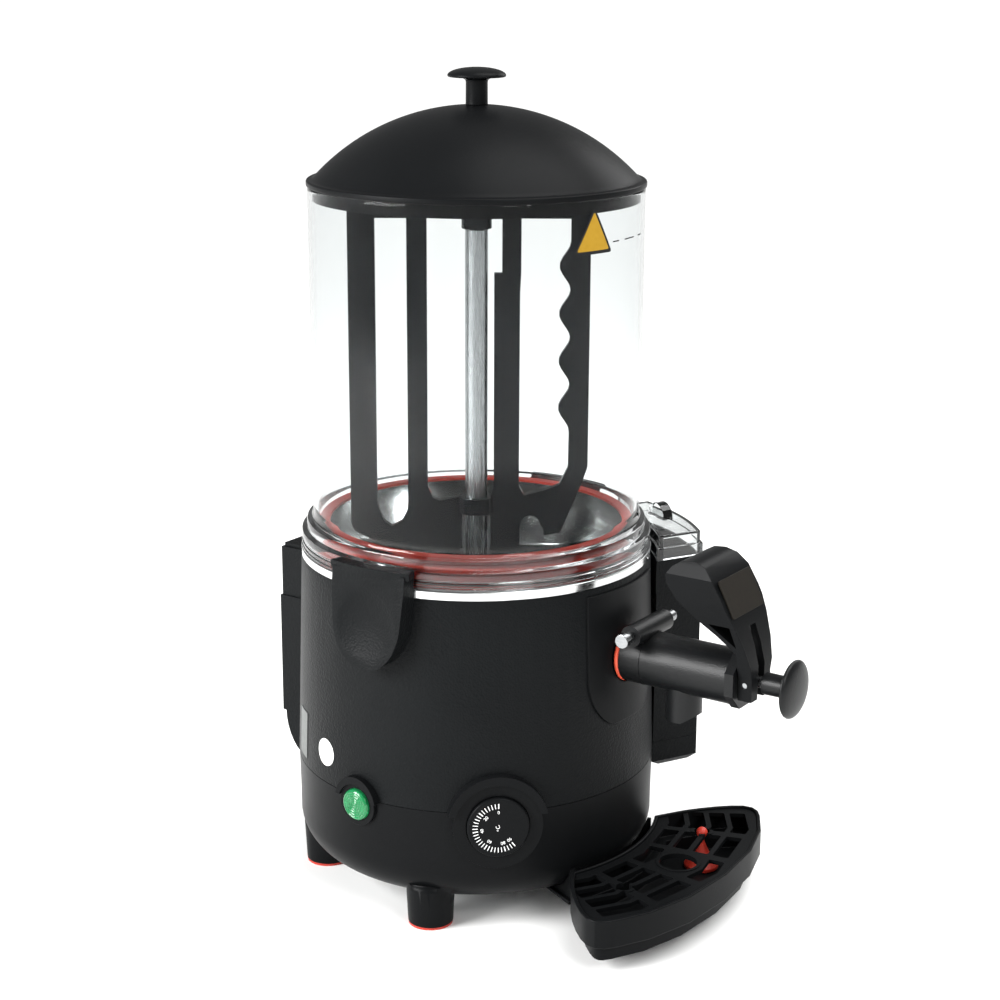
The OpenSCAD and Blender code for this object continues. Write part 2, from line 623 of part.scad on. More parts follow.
module power_switch() color("#3a3c3e") radial(button_a, button_z) translate([0, 0, 98]) {
  translate([-11, -9, 0]) cube([22, 18, 18]);
}

module rating_plate() color("#c8cac9") at(-128) intersection() {
  rotate_extrude() polygon([[body_at(98) + 0.02, 98], [body_at(98) + 0.4, 98],
    [body_at(132) + 0.4, 132], [body_at(132) + 0.02, 132]]);
  translate([-9, -140, 98]) cube([18, 40, 34]);
}

base_shell();
foot_pads();
base_plate();
base_screws();
body_shell();
top_ring();
tap_escutcheon();
side_handle_left();
side_handle_right();
water_tank();
product_pan();
outlet_tube();
outlet_seal();
heating_element();
thermostat();
gear_motor();
motor_bracket();
motor_screws();
tank_drain_plug();
centre_tube();
shaft_seal();
drive_shaft();
paddle();
paddle_hub();
bowl_gasket();
bowl();
lid();
lid_knob();
lid_knob_screw();
tap_body();
tap_o_ring();
tap_piston();
piston_seal();
tap_spring();
tap_knob();
tap_lever();
lever_badge();
lever_pin();
lock_pin();
drip_tray();
drip_grille();
tray_float();
tray_bracket();
filler_box();
filler_base();
filler_lid();
rear_housing();
rear_cap();
rear_screws();
cord_gland();
dial_bezel();
dial();
button_bezel();
power_button();
power_switch();
rating_plate();
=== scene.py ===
import json
import math

import bmesh
import bpy
import numpy as np
from mathutils import Matrix, Vector


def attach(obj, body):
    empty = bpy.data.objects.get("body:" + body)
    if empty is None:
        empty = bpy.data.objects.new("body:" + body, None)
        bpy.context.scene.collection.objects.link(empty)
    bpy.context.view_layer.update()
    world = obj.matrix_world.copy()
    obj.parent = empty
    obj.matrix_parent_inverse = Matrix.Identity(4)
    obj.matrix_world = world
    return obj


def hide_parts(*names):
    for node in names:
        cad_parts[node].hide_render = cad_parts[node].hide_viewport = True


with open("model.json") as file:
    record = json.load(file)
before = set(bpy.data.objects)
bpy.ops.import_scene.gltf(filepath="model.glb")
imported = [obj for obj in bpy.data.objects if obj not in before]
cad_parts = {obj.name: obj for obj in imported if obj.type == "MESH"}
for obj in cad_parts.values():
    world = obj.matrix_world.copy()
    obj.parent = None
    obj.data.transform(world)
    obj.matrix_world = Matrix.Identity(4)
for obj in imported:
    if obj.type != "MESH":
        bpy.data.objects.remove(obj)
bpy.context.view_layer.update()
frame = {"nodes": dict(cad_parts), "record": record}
nodes = frame["nodes"]
print("frame loaded:", len(nodes), "nodes")

mm = 0.001
subparts = {row["node"]: row for row in frame["record"]["subparts"]}
bodies = frame["record"]["behaviour"]["bodies"]
bodyOf = {node: body for body, members in bodies.items() for node in members}


def turned(angle):
    # unit vector a given number of degrees round from the tap, seen from above
    return np.array([math.sin(math.radians(angle)), -math.cos(math.radians(angle)), 0.0])


# the camera's turn is measured from +Y towards +X, and its far clip lies beyond the floor's corners
cameraPlace = {"at": (-1.1688, -0.8089, 0.6658), "turn": 55.996, "down": 15.3145, "roll": -0.241,
               "lens": 74.25, "near": 0.05, "far": 3000.0}
lights = [
    {"name": "keyLight", "at": (-1.7, 0.9, 1.0), "size": 1.1, "power": 82},
    {"name": "sideLight", "at": (-0.9, -1.9, 1.5), "size": 0.8, "power": 20},
    {"name": "rimLight", "at": (1.6, -0.3, 1.2), "size": 0.9, "power": 8},
]
daylight = {"strength": 2.9, "spread": 50.0, "tilt": (0.30, 0.25), "sky": 0.3}
aimHeight = 0.28
floorSize = {"half": 900.0, "colour": "#fbfbfa"}


def linearColour(hexText, alpha=1.0):
    # sRGB hex to linear light
    parts = np.array([int(hexText[i:i + 2], 16) for i in (1, 3, 5)]) / 255
    flat = np.where(parts <= 0.04045, parts / 12.92, ((parts + 0.055) / 1.055) ** 2.4)
    return (*[float(v) for v in flat], alpha)


def addNode(tree, kind, settings=None, values=None, links=None):
    node = tree.nodes.new(kind)
    for name, value in (settings or {}).items():
        setattr(node, name, value)
    for name, value in (values or {}).items():
        node.inputs[name].default_value = value
    for name, source in (links or {}).items():
        tree.links.new(source, node.inputs[name])
    return node


def buildCamera(place):
    data = bpy.data.cameras.new("camera")
    data.lens = place["lens"]
    data.clip_start = place["near"]
    data.clip_end = place["far"]
    camera = bpy.data.objects.new("camera", data)
    turn, down, roll = (math.radians(place[k]) for k in ("turn", "down", "roll"))
    ahead = Vector((math.sin(turn), math.cos(turn), 0.0))
    forward = ahead * math.cos(down) - Vector((0.0, 0.0, math.sin(down)))
    level = Vector((math.cos(turn), -math.sin(turn), 0.0))
    upright = level.cross(forward)
    right = level * math.cos(roll) - upright * math.sin(roll)
    up = level * math.sin(roll) + upright * math.cos(roll)
    turnMatrix = Matrix((right, up, -forward)).transposed().to_4x4()
    camera.matrix_world = Matrix.Translation(place["at"]) @ turnMatrix
    bpy.context.scene.collection.objects.link(camera)
    bpy.context.scene.camera = camera


def buildLights(rows, sun):
    for row in rows:
        data = bpy.data.lights.new(row["name"], "AREA")
        data.size = row["size"]
        data.energy = row["power"]
        lamp = bpy.data.objects.new(row["name"], data)
        lamp.location = row["at"]
        aim = Vector((0, 0, aimHeight)) - lamp.location
        lamp.rotation_euler = aim.to_track_quat("-Z", "Y").to_euler()
        bpy.context.scene.collection.objects.link(lamp)
    data = bpy.data.lights.new("daylight", "SUN")
    data.energy = sun["strength"]
    data.angle = math.radians(sun["spread"])
    lamp = bpy.data.objects.new("daylight", data)
    lamp.rotation_euler = (*sun["tilt"], 0.0)
    bpy.context.scene.collection.objects.link(lamp)
    world = bpy.data.worlds.new("studio")
    world.use_nodes = True
    background = world.node_tree.nodes["Background"]
    background.inputs["Color"].default_value = linearColour("#ffffff")
    background.inputs["Strength"].default_value = sun["sky"]
    bpy.context.scene.world = world
    bpy.context.scene.view_settings.view_transform = "Standard"


def buildFloor(size):
    mesh = bpy.data.meshes.new("floor")
    half = size["half"]
    corners = [(-half, -half, 0), (half, -half, 0), (half, half, 0), (-half, half, 0)]
    mesh.from_pydata(corners, [], [(0, 1, 2, 3)])
    floor = bpy.data.objects.new("floor", mesh)
    bpy.context.scene.collection.objects.link(floor)
    material = bpy.data.materials.new("palePaper")
    material.use_nodes = True
    shader = material.node_tree.nodes["Principled BSDF"]
    shader.inputs["Base Color"].default_value = linearColour(size["colour"])
    shader.inputs["Roughness"].default_value = 1.0
    shader.inputs["Specular IOR Level"].default_value = 0.0
    mesh.materials.append(material)


buildCamera(cameraPlace)
buildLights(lights, daylight)
buildFloor(floorSize)
print("camera, lights and floor done")


def startMaterial(name, values):
    # a new Principled material, with its node tree, its shader and the Object coordinates
    material = bpy.data.materials.new(name)
    material.use_nodes = True
    shader = material.node_tree.nodes["Principled BSDF"]
    for key, value in values.items():
        shader.inputs[key].default_value = value
    place = addNode(material.node_tree, "ShaderNodeTexCoord")
    return material, material.node_tree, shader, place.outputs["Object"]


def addNoise(tree, place, scale, detail):
    return addNode(tree, "ShaderNodeTexNoise", None, {"Scale": scale, "Detail": detail}, {"Vector": place})


def tintBetween(tree, shader, dark, light, factor):
    # the base colour drifts between two sRGB colours
    ends = {6: linearColour(dark), 7: linearColour(light)}
    tint = addNode(tree, "ShaderNodeMix", {"data_type": "RGBA"}, ends, {0: factor})
    tree.links.new(tint.outputs[2], shader.inputs["Base Color"])


def varyRoughness(tree, shader, factor, lowest, highest, factorFrom=0.0, factorTo=1.0):
    ends = {"From Min": factorFrom, "From Max": factorTo, "To Min": lowest, "To Max": highest}
    rough = addNode(tree, "ShaderNodeMapRange", None, ends, {"Value": factor})
    tree.links.new(rough.outputs["Result"], shader.inputs["Roughness"])


def raiseSurface(tree, shader, height, strength, distance):
    amounts = {"Strength": strength, "Distance": distance}
    bump = addNode(tree, "ShaderNodeBump", None, amounts, {"Height": height})
    tree.links.new(bump.outputs["Normal"], shader.inputs["Normal"])


def mouldedAbs(name, setting):
    # injection-moulded ABS: matt black skin whose grain breaks the highlights into fine sparkle
    material, tree, shader, place = startMaterial(name, {
        "IOR": 1.53, "Specular IOR Level": setting["shine"],
        "Coat Weight": setting["coat"], "Coat Roughness": 0.3})
    spacing = 1 / setting["grain"]
    cells = addNode(tree, "ShaderNodeTexVoronoi", {"feature": "F1"}, {"Scale": spacing}, {"Vector": place})
    pores = addNoise(tree, place, 0.6 / setting["grain"], 3.0)
    both = addNode(tree, "ShaderNodeMath", {"operation": "ADD"}, None,
                   {0: cells.outputs["Distance"], 1: pores.outputs["Fac"]})
    raiseSurface(tree, shader, both.outputs[0], setting["relief"], setting["grain"] * 0.25)
    cloud = addNoise(tree, place, 9.0, 4.0).outputs["Fac"]
    tintBetween(tree, shader, setting["dark"], setting["light"], cloud)
    varyRoughness(tree, shader, cloud, setting["roughness"] - 0.05, setting["roughness"] + 0.06, 0.3, 0.7)
    return material


def brushedSteel(name, stretch, roughness, dark="#c4c6c7", light="#e6e7e6"):
    # cold-rolled stainless steel, brushed: fine parallel scratches that draw the highlight out
    material, tree, shader, place = startMaterial(name, {"Metallic": 1.0, "Roughness": roughness})
    lay = addNode(tree, "ShaderNodeMapping", None, {"Scale": stretch}, {"Vector": place})
    scratch = addNoise(tree, lay.outputs[0], 1400.0, 2.0).outputs["Fac"]
    varyRoughness(tree, shader, scratch, roughness - 0.1, roughness + 0.12)
    raiseSurface(tree, shader, scratch, 0.2, 0.04 * mm)
    tintBetween(tree, shader, dark, light, scratch)
    return material


def siliconeRubber(name, colour, light):
    # moulded silicone: soft satin red with a faint bloom
    material, tree, shader, place = startMaterial(name, {
        "Roughness": 0.42, "IOR": 1.41, "Subsurface Weight": 0.15, "Subsurface Scale": 2 * mm})
    bloom = addNoise(tree, place, 60.0, 5.0).outputs["Fac"]
    tintBetween(tree, shader, colour, light, bloom)
    raiseSurface(tree, shader, bloom, 0.15, 0.2 * mm)
    return material


def clearPolycarbonate(name):
    # extruded and bonded polycarbonate: clear, its edges grey where the light runs along the wall;
    # the thick foot bends light fully, the straight wall less, so that what stands inside stays dark
    material, tree, shader, place = startMaterial(name, {
        "Base Color": linearColour("#fbfdfd"), "Transmission Weight": 1.0, "Roughness": 0.0})
    height = addNode(tree, "ShaderNodeSeparateXYZ", None, None, {"Vector": place})
    ends = {"From Min": 0.268, "From Max": 0.276, "To Min": 1.49, "To Max": 1.16}
    bend = addNode(tree, "ShaderNodeMapRange", None, ends, {"Value": height.outputs["Z"]})
    tree.links.new(bend.outputs["Result"], shader.inputs["IOR"])
    depth = {"Color": linearColour("#8d9093"), "Density": 33.0}
    grey = addNode(tree, "ShaderNodeVolumeAbsorption", None, depth)
    tree.links.new(grey.outputs[0], tree.nodes["Material Output"].inputs["Volume"])
    wipe = addNoise(tree, place, 14.0, 6.0).outputs["Fac"]
    varyRoughness(tree, shader, wipe, 0.0, 0.05, 0.45, 0.8)
    return material


def greenLens(name):
    # translucent tinted acrylic over a lit neon: green that glows a little from inside
    material, tree, shader, place = startMaterial(name, {
        "Transmission Weight": 0.45, "IOR": 1.49, "Roughness": 0.08, "Emission Strength": 0.03,
        "Emission Color": linearColour("#3fd08a")})
    ripple = addNoise(tree, place, 220.0, 2.0).outputs["Fac"]
    tintBetween(tree, shader, "#0c6b38", "#2aa564", ripple)
    return material


def printedFilm(name, colour, speck):
    # printed vinyl film: flat ink under a matt laminate
    material, tree, shader, place = startMaterial(name, {"Roughness": 0.6, "Specular IOR Level": 0.15})
    mottle = addNoise(tree, place, 300.0, 3.0).outputs["Fac"]
    tintBetween(tree, shader, colour, speck, mottle)
    return material


absSettings = {
    # grain is the real spacing in metres, drawn a little coarse so that it shows
    "grained": {"dark": "#0c0d0e", "light": "#141617", "roughness": 0.42, "grain": 0.0015, "relief": 0.6,
                "coat": 0.0, "shine": 0.06},
    "satin": {"dark": "#0c0d0e", "light": "#131415", "roughness": 0.36, "grain": 0.0009, "relief": 0.15,
              "coat": 0.0, "shine": 0.05},
    "tap": {"dark": "#0b0c0d", "light": "#121314", "roughness": 0.32, "grain": 0.0009, "relief": 0.3,
            "coat": 0.0, "shine": 0.2},
    "gloss": {"dark": "#0d0f11", "light": "#15181a", "roughness": 0.14, "grain": 0.002, "relief": 0.03,
              "coat": 0.0, "shine": 0.12},
    "hammered": {"dark": "#55595c", "light": "#686c70", "roughness": 0.45, "grain": 0.002, "relief": 0.4,
                 "coat": 0.2, "shine": 0.5},
    "bakelite": {"dark": "#3a2a1e", "light": "#4a3626", "roughness": 0.4, "grain": 0.0015, "relief": 0.15,
                 "coat": 0.1, "shine": 0.5},
}
grainedBlack = mouldedAbs("leatherGrainAbs", absSettings["grained"])
satinBlack = mouldedAbs("satinAbs", absSettings["satin"])
tapBlack = mouldedAbs("tapAcetal", absSettings["tap"])
paddleBlack = mouldedAbs("polishedPaddlePlastic", absSettings["gloss"])
drawnSteel = brushedSteel("drawnSteelTube", (1.0, 1.0, 0.03), 0.24, "#7c7f81", "#a6a8a9")
spunSteel = brushedSteel("spunSteelPan", (0.05, 0.05, 1.0), 0.16)
ringSteel = brushedSteel("polishedSteelRing", (0.05, 0.05, 1.0), 0.12)
platedSteel = brushedSteel("platedSteel", (1.0, 0.1, 1.0), 0.2, "#7c7f81", "#a6a8a9")
redSilicone = siliconeRubber("redSilicone", "#a8261c", "#c8402f")
brightRing = siliconeRubber("orangeRedSilicone", "#e0452c", "#f06a4c")
clearBowl = clearPolycarbonate("clearPolycarbonate")
litGreen = greenLens("litGreenAcrylic")
greyFilm = printedFilm("greyPrintedFilm", "#5f6160", "#737574")
whiteFilm = printedFilm("whitePrintedFilm", "#e9e9e7", "#f4f4f2")
inkWhite = printedFilm("whitePadPrint", "#eef0ef", "#fbfbfa")
inkBlack = printedFilm("blackPadPrint", "#161718", "#202122")
yellowFilm = printedFilm("yellowPrintedFilm", "#a37d1c", "#b28c2a")
badgeFilm = printedFilm("darkBadgeFilm", "#15120e", "#1e1a14")
motorPaint = mouldedAbs("hammeredGreyPaint", absSettings["hammered"])
brownBakelite = mouldedAbs("brownBakelite", absSettings["bakelite"])
slotMaterial = {"grained_black": grainedBlack, "satin_black": satinBlack, "gloss_black": paddleBlack,
                "brushed_steel": spunSteel, "plated_steel": platedSteel, "red_silicone": redSilicone,
                "clear_plastic": clearBowl, "green_lens": litGreen, "motor_grey": motorPaint,
                "switch_brown": brownBakelite, "label": greyFilm}
ownMaterial = {"tap_body": tapBlack, "tap_lever": satinBlack, "tap_knob": tapBlack,
               "centre_tube": drawnSteel, "tap_o_ring": brightRing, "lever_badge": badgeFilm,
               "drive_shaft": drawnSteel, "tap_piston": drawnSteel, "top_ring": ringSteel}


def materialOf(node):
    return ownMaterial.get(node, slotMaterial[subparts[node]["material_slot"]])


print("materials done")


def addPiece(name, mesh, material, body, replaced=()):
    piece = bpy.data.objects.new(name, mesh)
    bpy.context.scene.collection.objects.link(piece)
    mesh.materials.clear()
    mesh.materials.append(material)
    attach(piece, body)
    if replaced:
        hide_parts(*replaced)
    return piece


def shadeWell(mesh, sharpAngle=32):
    mesh.shade_smooth()
    mesh.set_sharp_from_angle(angle=math.radians(sharpAngle))


def gridMesh(name, points, closeAlong=False, closeAcross=False):
    # quads between neighbours of an (along, across) grid of points; closed directions join their ends
    along, across = points.shape[:2]
    mesh = bpy.data.meshes.new(name)
    number = np.arange(along * across).reshape(along, across)
    rowEnd = along if closeAlong else along - 1
    columnEnd = across if closeAcross else across - 1
    i, j = np.meshgrid(np.arange(rowEnd), np.arange(columnEnd), indexing="ij")
    i2, j2 = (i + 1) % along, (j + 1) % across
    quads = np.stack([number[i, j], number[i2, j], number[i2, j2], number[i, j2]], -1).reshape(-1, 4)
    mesh.from_pydata(points.reshape(-1, 3).tolist(), [], quads.tolist())
    work = bmesh.new()
    work.from_mesh(mesh)
    bmesh.ops.remove_doubles(work, verts=work.verts, dist=1e-6)
    bmesh.ops.recalc_face_normals(work, faces=work.faces)
    work.to_mesh(mesh)
    work.free()
    shadeWell(mesh)
    return mesh


def revolved(name, profile, steps=160, origin=(0, 0, 0), axis=(0, 0, 1), closed=True):
    # each (radius, height) of the profile, in millimetres, is carried round the axis:
    # point = origin + radius * (cos t * side + sin t * other) + height * axis
    profile = np.asarray(profile, float) * mm
    axis = np.asarray(axis, float) / np.linalg.norm(axis)
    side = np.cross(axis, (0, 0, 1) if abs(axis[2]) < 0.9 else (1, 0, 0))
    side /= np.linalg.norm(side)
    other = np.cross(axis, side)
    t = np.linspace(0, 2 * np.pi, steps, endpoint=False)
    ring = np.cos(t)[:, None] * side + np.sin(t)[:, None] * other
    points = np.asarray(origin) + ring[:, None, :] * profile[None, :, :1] + profile[None, :, 1:] * axis
    return gridMesh(name, points, closeAlong=True, closeAcross=closed)


def arcPoints(centre, radius, start, end, count):
    t = np.radians(np.linspace(start, end, count))
    return [(centre[0] + radius * math.cos(v), centre[1] + radius * math.sin(v)) for v in t]


def finishedCopy(node, bevel, segments=3, sharpAngle=30):
    # the CAD node's own shape with its edges broken by a small radius in millimetres
    mesh = nodes[node].data.copy()
    work = bmesh.new()
    work.from_mesh(mesh)
    bmesh.ops.remove_doubles(work, verts=work.verts, dist=2e-6)
    bmesh.ops.dissolve_limit(work, angle_limit=math.radians(0.6), verts=work.verts, edges=work.edges)
    work.to_mesh(mesh)
    work.free()
    shadeWell(mesh, sharpAngle)
    piece = addPiece(node + "Finished", mesh, materialOf(node), bodyOf[node], (node,))
    if bevel:
        edge = piece.modifiers.new("edge", "BEVEL")
        edge.width = bevel * mm
        edge.segments = segments
        edge.limit_method = "ANGLE"
        edge.angle_limit = math.radians(38)
        edge.harden_normals = False


# CAD nodes keep their shape and take a proper finish
for nodeName in subparts:
    nodes[nodeName].data.materials.clear()
    nodes[nodeName].data.materials.append(materialOf(nodeName))

# the radius in millimetres that breaks each node's edges, or 0 where the CAD edge is kept
brokenEdges = {
    "base_shell": 0, "body_shell": 0.5, "top_ring": 0.6, "tap_escutcheon": 0.6, "side_handle_left": 1.2,
    "side_handle_right": 1.2, "paddle": 0.9, "paddle_hub": 0.5, "tap_body": 0.6, "tap_lever": 1.2,
    "lever_badge": 0.3, "lock_pin": 0.5, "drip_tray": 0.8, "drip_grille": 0.5, "tray_float": 0.4,
    "filler_box": 0.9, "filler_base": 1.0, "rear_housing": 1.2, "rear_cap": 1.2, "dial_bezel": 0.5,
    "button_bezel": 0.4, "tray_bracket": 0.6, "cord_gland": 0.4, "foot_pads": 0.3, "centre_tube": 0,
    "product_pan": 0, "tap_o_ring": 0, "rear_screws": 0.3, "filler_lid": 0.5, "rating_plate": 0,
    "tap_piston": 0.2}
for nodeName, bevel in brokenEdges.items():
    finishedCopy(nodeName, bevel)
print("finished copies done")


def joinedMesh(name, parts):
    # several closed surfaces kept as one piece
    work = bmesh.new()
    for part in parts:
        work.from_mesh(part)
    mesh = bpy.data.meshes.new(name)
    work.to_mesh(mesh)
    work.free()
    shadeWell(mesh)
    return mesh


# lid: a spherical cap of one radius, blended into a rolled flange and a skirt inside the bowl
lidSize = {"top": 555.0, "springZ": 506.0, "springR": 112.0, "edge": 116.8, "skirt": 112.5,
           "skirtInner": 109.6, "skirtEnd": 492.0, "wall": 3.0, "bore": 2.2}


def lidProfile(size):
    # chord radius r and rise h give the cap's radius (r squared + h squared) / (2 h)
    rise = size["top"] - size["springZ"]
    domeR = (size["springR"] ** 2 + rise ** 2) / (2 * rise)
    firstTurn, lastTurn = math.asin(size["bore"] / domeR), math.asin(size["springR"] / domeR)
    outer = [(domeR * math.sin(t), size["top"] - domeR * (1 - math.cos(t)))
             for t in np.linspace(firstTurn, lastTurn, 44)]
    flange = [(113.2, 505.35), (114.4, 505.2), *arcPoints((115.4, 503.8), 1.4, 90, 0, 6),
              (size["edge"], 502.2), *arcPoints((116.0, 501.9), 0.8, 0, -90, 5), (size["skirt"], 501.1)]
    skirt = [(size["skirt"], size["skirtEnd"] + 0.4), (size["skirt"] - 0.3, size["skirtEnd"]),
             (size["skirtInner"], size["skirtEnd"]), (size["skirtInner"], 502.4)]
    innerR, innerTop = domeR - size["wall"], size["top"] - size["wall"]
    inner = [(innerR * math.sin(t), innerTop - innerR * (1 - math.cos(t)))
             for t in np.linspace(lastTurn * 0.965, firstTurn, 40)]
    return outer + flange + skirt + inner


addPiece("lidDome", revolved("lidDome", lidProfile(lidSize), 200), satinBlack, "lid", ("lid",))

# mushroom knobs on the lid and on the end of the tap's rod, each with the bore that its screw or rod fills
lidKnobSize = {"height": 25, "r": 20.0, "bore": 2.05, "depth": 19, "at": (0, 0, lidSize["top"] * mm)}
tapKnobSize = {"height": 26, "r": 20.0, "bore": 4.0, "depth": 6, "at": (0, -0.234, 0.187)}


def mushroomProfile(size):
    # a straight stem that flares under a thin cap with a shallow elliptical top
    h, knobR, bore, depth = size["height"], size["r"], size["bore"], size["depth"]
    stem = [(0, depth), (bore, depth), (bore, 0), (7.4, 0), (7.6, 0.3), (7.5, h - 10), (7.9, h - 8.6)]
    flare = [(9.5, h - 7.6), (13, h - 7.1), (knobR - 1.4, h - 6.7)]
    rim = arcPoints((knobR - 1.05, h - 5.65), 1.0, -80, -10, 6)
    top = [(knobR * math.cos(t), h - 5.6 + 5.6 * math.sin(t)) for t in np.linspace(0, math.pi / 2, 22)]
    return stem + flare + rim + top


def knobMesh(name, size, axis):
    return revolved(name, mushroomProfile(size), 96, size["at"], axis, closed=False)


lidKnobMesh = knobMesh("lidKnob", lidKnobSize, (0, 0, 1))
addPiece("lidKnob", lidKnobMesh, satinBlack, "lid", ("lid_knob",))
tapKnobMesh = knobMesh("tapKnob", tapKnobSize, turned(0))
addPiece("tapKnob", tapKnobMesh, tapBlack, "piston", ("tap_knob",))

# bowl: straight tube on a stepped foot flange whose corners are all rounded
bowlSize = {"inner": 113.0, "outer": 116.0, "rim": 501.0, "foot": 247.0}
# the flange's outline as radius and height above the foot: two grooves, a step, then a flare into the tube
bowlFlange = [(124.2, 0.1), (124.55, 0.6), (124.6, 1.2), (124.5, 2), (123.9, 2.5), (123.9, 3.4), (124.5, 4),
              (124.6, 4.7), (124.5, 5.4), (123.9, 6), (123.9, 7), (124.3, 7.6), (124.4, 8.6), (124.4, 11.5),
              (124.1, 12.7), (123.3, 13.4), (121.3, 13.8), (120.7, 14.2), (120.6, 15), (120.6, 19),
              (120.2, 20.2), (119.4, 20.8), (117.6, 21.3), (116.8, 22), (116.3, 23.4)]


def bowlProfile(size):
    foot, rim, inner, outer = size["foot"], size["rim"], size["inner"], size["outer"]
    flange = [(inner, foot + 0.1), *[(r, foot + h) for r, h in bowlFlange]]
    # close pairs of rings at both ends keep the straight wall's normals level
    wall = [(outer, foot + 26), (outer, foot + 27), (outer, foot + 29), (outer, rim - 3), (outer, rim - 1.2)]
    lip = [(outer - 0.4, rim - 0.3), ((inner + outer) / 2, rim), (inner + 0.4, rim - 0.3)]
    return flange + wall + lip + [(inner, rim - 1.2), (inner, rim - 3), (inner, foot + 3), (inner, foot + 1)]


bowlMesh = revolved("bowlTube", bowlProfile(bowlSize), 256)
addPiece("bowlTube", bowlMesh, clearBowl, "bowl", ("bowl",))

# gasket: a flat lip on the pan's rim and two round-edged rings below it
gasketSize = {"lipInner": 104.2, "lipOuter": 111.9, "lipLow": 264.1, "lipTop": 266, "ringInner": 106.6,
              "ringOuter": 111.4, "ringHalf": 1, "ringLevels": (252, 259)}


def gasketProfiles(size):
    low, top, outer = size["lipLow"], size["lipTop"], size["lipOuter"]
    lipEdge = arcPoints((outer - 0.3, (low + top) / 2), 0.8, -80, 80, 6)
    profiles = [[(size["lipInner"], low), (outer, low), *lipEdge, (outer, top), (size["lipInner"], top)]]
    inner, outer, half = size["ringInner"], size["ringOuter"], size["ringHalf"]
    for z in size["ringLevels"]:
        low, top, ringEdge = z - half, z + half, arcPoints((outer, z), 1.0, -80, 80, 7)
        profiles.append([(inner, low), (outer, low), *ringEdge, (outer, top), (inner, top)])
    return profiles


gasketParts = [revolved("ring", profile, 200) for profile in gasketProfiles(gasketSize)]
gasketMesh = joinedMesh("gasketRings", gasketParts)
addPiece("gasketRings", gasketMesh, redSilicone, "machine", ("bowl_gasket",))
print("lid, knobs, bowl and gasket done")

# thermostat dial: a flat disc with a rolled edge, white ticks and digits on its face
dialSize = {"turn": -48.8, "z": 83.0, "face": 135.1, "zeroAt": 90.0, "sweep": 220.0, "top": 27,
            "tickFrom": 14.2, "tickTo": 17.8, "digitAt": 11.3, "digitHeight": 2.4, "unitHeight": 3.0,
            "ink": 0.1}
dialDigits = {0: "0", 6: "20", 12: "40", 18: "60", 24: "80", 27: "90"}


def discFrame(turn, z, out):
    # origin on a radial axis, with its right-hand and upward directions
    n = turned(turn)
    return n * out * mm + np.array([0, 0, z * mm]), np.cross((0, 0, 1), n), np.array([0, 0, 1.0]), n


def dialMarks(size):
    origin, right, up, n = discFrame(size["turn"], size["z"], size["face"])

    def outwardAt(mark):
        t = math.radians(size["zeroAt"] + mark * size["sweep"] / size["top"])
        return math.cos(t) * right + math.sin(t) * up, math.sin(t) * right - math.cos(t) * up

    marks = []
    for k in range(size["top"] + 1):
        outward, clockwise = outwardAt(k)
        half = 0.36 if k in dialDigits else 0.26
        near, far = size["tickFrom"], size["tickTo"]
        outline = ((near, -half), (far, -half), (far, half), (near, half))
        corners = np.array([[origin + (a * outward - b * clockwise + c * n) * mm for a, b in outline]
                            for c in (0.0, size["ink"])])
        marks.append(solidBar(corners))
    for value, text in dialDigits.items():
        outward, clockwise = outwardAt(value)
        centre = origin + outward * size["digitAt"] * mm
        marks.append(textMesh(text, size["digitHeight"], centre, clockwise, outward, n, size["ink"]))
    outward, clockwise = outwardAt(size["top"] / 2)
    marks.append(textMesh("\u00b0C", size["unitHeight"], origin, clockwise, outward, n, size["ink"]))
    return joinedMesh("dialMarks", marks)


def solidBar(corners):
    # box from its four lower and four upper corners
    mesh = bpy.data.meshes.new("bar")
    faces = [(3, 2, 1, 0), (4, 5, 6, 7), (0, 1, 5, 4), (1, 2, 6, 5), (2, 3, 7, 6), (3, 0, 4, 7)]
    mesh.from_pydata(corners.reshape(8, 3).tolist(), [], faces)
    return mesh


def textMesh(text, height, centre, right, up, n, thick):
    # generic marks drawn with the built-in face, made a closed mesh and laid on a plane
    curve = bpy.data.curves.new("marks", "FONT")
    curve.body = text
    curve.size = height * mm * 1.35
    curve.extrude = thick * mm / 2
    curve.resolution_u = 3
    curve.align_x = "CENTER"
    curve.align_y = "CENTER"
    holder = bpy.data.objects.new("marks", curve)
    bpy.context.scene.collection.objects.link(holder)
    mesh = bpy.data.meshes.new_from_object(holder.evaluated_get(bpy.context.evaluated_depsgraph_get()))
    bpy.data.objects.remove(holder)
    place = Matrix((right, up, n)).transposed().to_4x4()
    place.translation = Vector(centre + n * thick * mm / 2)
    mesh.transform(place)
    work = bmesh.new()
    work.from_mesh(mesh)
    bmesh.ops.remove_doubles(work, verts=work.verts, dist=1e-6)
    bmesh.ops.recalc_face_normals(work, faces=work.faces)
    work.to_mesh(mesh)
    work.free()
    return mesh


dialProfile = [(0, 132.5), (3.06, 132.5), (3.06, 128), (21.2, 128), (21.5, 128.4), (21.5, 133.6),
               *arcPoints((20.1, 133.7), 1.4, 5, 85, 7), (20, dialSize["face"]), (0, dialSize["face"])]
dialMesh = revolved("dialDisc", dialProfile, 120, (0, 0, dialSize["z"] * mm), turned(dialSize["turn"]),
                    closed=False)
addPiece("dialDisc", dialMesh, satinBlack, "dial", ("dial",))
addPiece("dialMarks", dialMarks(dialSize), inkWhite, "dial")

# power button: a clear green cap with concentric ripples on its face
buttonSize = {"turn": -94, "z": 87.0, "face": 134.5, "faceR": 9.4, "ripple": 0.4, "pitch": 1.9}


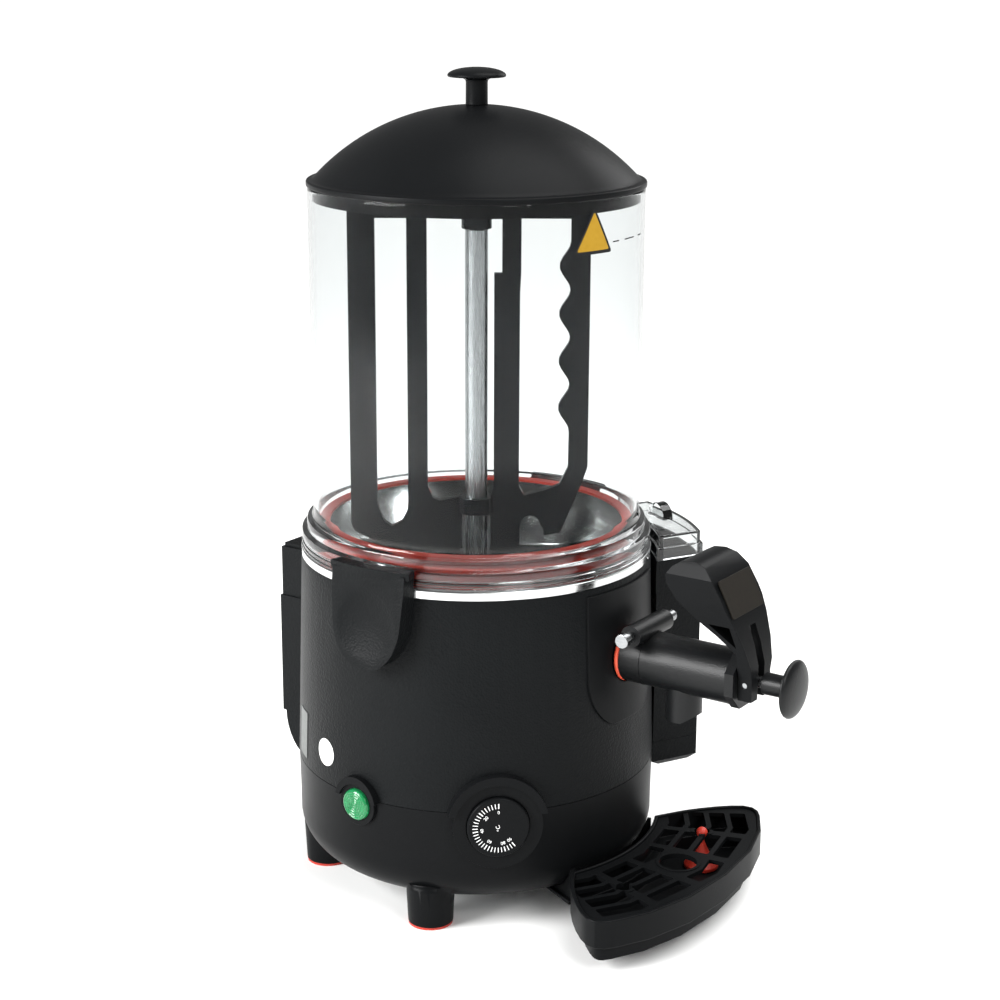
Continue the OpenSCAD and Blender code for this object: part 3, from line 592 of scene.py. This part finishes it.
def buttonProfile(size):
    # the face is face - ripple * sin squared of (faceR - r) * pi / pitch
    side = [(0, 124), (10.8, 124), (11.1, 124.3), (11.1, 132.8), (10.9, 133.4), (9.9, 134.3),
            (size["faceR"], size["face"])]
    waves = [(r, size["face"] - size["ripple"] * math.sin((size["faceR"] - r) * math.pi / size["pitch"]) ** 2)
             for r in np.linspace(size["faceR"] - 0.2, 0, 60)]
    return side + waves


buttonMesh = revolved("buttonCap", buttonProfile(buttonSize), 96, (0, 0, buttonSize["z"] * mm),
                      turned(buttonSize["turn"]), closed=False)
addPiece("buttonCap", buttonMesh, litGreen, "button", ("power_button",))


def bodyRadius(z):
    # the body narrows evenly from its seam to its top edge
    seam, seamR, top, topR = 91.5, 129.6, 241.0, 125.0
    return seamR - (seamR - topR) / (top - seam) * (z - seam)


def filmPatch(name, outline, turn, z, radius, lift=0.03, thick=0.12):
    # a star-shaped outline (millimetres across, up) bent round the axis and thickened outwards
    layers = [(0, 0), (0.5, 0), (1, 0), (1, 1), (0.5, 1), (0, 1)]
    rows = []
    for across, up in outline:
        row = []
        for scale, top in layers:
            level = z + up * scale
            r = radius(level) + lift + top * thick
            outward = turned(turn + math.degrees(across * scale / r))
            row.append((outward * r + np.array([0, 0, level])) * mm)
        rows.append(row)
    return gridMesh(name, np.array(rows), closeAlong=True)


def roundedOutline(corners, r, steps=6, spacing=2.0):
    # polygon whose corners are parabolas, with its long sides cut so that they can bend round the axis
    points = []
    for k in range(len(corners)):
        here, before, after = corners[k], corners[k - 1], corners[(k + 1) % len(corners)]
        a = here + (before - here) / np.linalg.norm(before - here) * r
        b = here + (after - here) / np.linalg.norm(after - here) * r
        points += [(1 - t) ** 2 * a + 2 * t * (1 - t) * here + t * t * b for t in np.linspace(0, 1, steps)]
    fine = []
    for k in range(len(points)):
        a, b = points[k], points[(k + 1) % len(points)]
        count = max(1, int(np.linalg.norm(b - a) / spacing))
        fine += [a + (b - a) * i / count for i in range(count)]
    return fine


def bowlRadius(z):
    return bowlSize["outer"]


# stickers: a plain yellow triangle and level marks on the bowl, a white disc on the body
signSize = {"turn": -14.3, "z": 478.5, "corner": 2.6, "faceShare": 0.82, "faceCorner": 1.6}
signOutline = np.array([(0.0, 18.4), (-17.6, -12.4), (17.6, -12.4)])
edgeOutline = roundedOutline(signOutline, signSize["corner"])
faceOutline = roundedOutline(signOutline * signSize["faceShare"], signSize["faceCorner"])
signEdge = filmPatch("signEdge", edgeOutline, signSize["turn"], signSize["z"], bowlRadius)
addPiece("signEdge", signEdge, inkBlack, "bowl")
signFace = filmPatch("signFace", faceOutline, signSize["turn"], signSize["z"], bowlRadius, 0.16, 0.06)
addPiece("signFace", signFace, yellowFilm, "bowl")

# level marks: angle round from the tap and width of each dash
levelSize = {"z": 472.4, "half": 0.4, "dashes": ((-3.2, 7), (5.6, 14), (14.8, 7))}
levelDashes = []
for turn, width in levelSize["dashes"]:
    across, up = width / 2, levelSize["half"]
    outline = [(-across, -up), (across, -up), (across, up), (-across, up)]
    levelDashes.append(filmPatch("dash", outline, turn, levelSize["z"], bowlRadius))
addPiece("levelMarks", joinedMesh("levelMarks", levelDashes), inkBlack, "bowl")

discSize = {"turn": -109.9, "z": 114.0, "r": 9.8}
discOutline = arcPoints((0, 0), discSize["r"], 0, 352.5, 48)
whiteDisc = filmPatch("whiteDisc", discOutline, discSize["turn"], discSize["z"], bodyRadius)
addPiece("whiteDisc", whiteDisc, whiteFilm, "machine")
print("dial, button and stickers done")
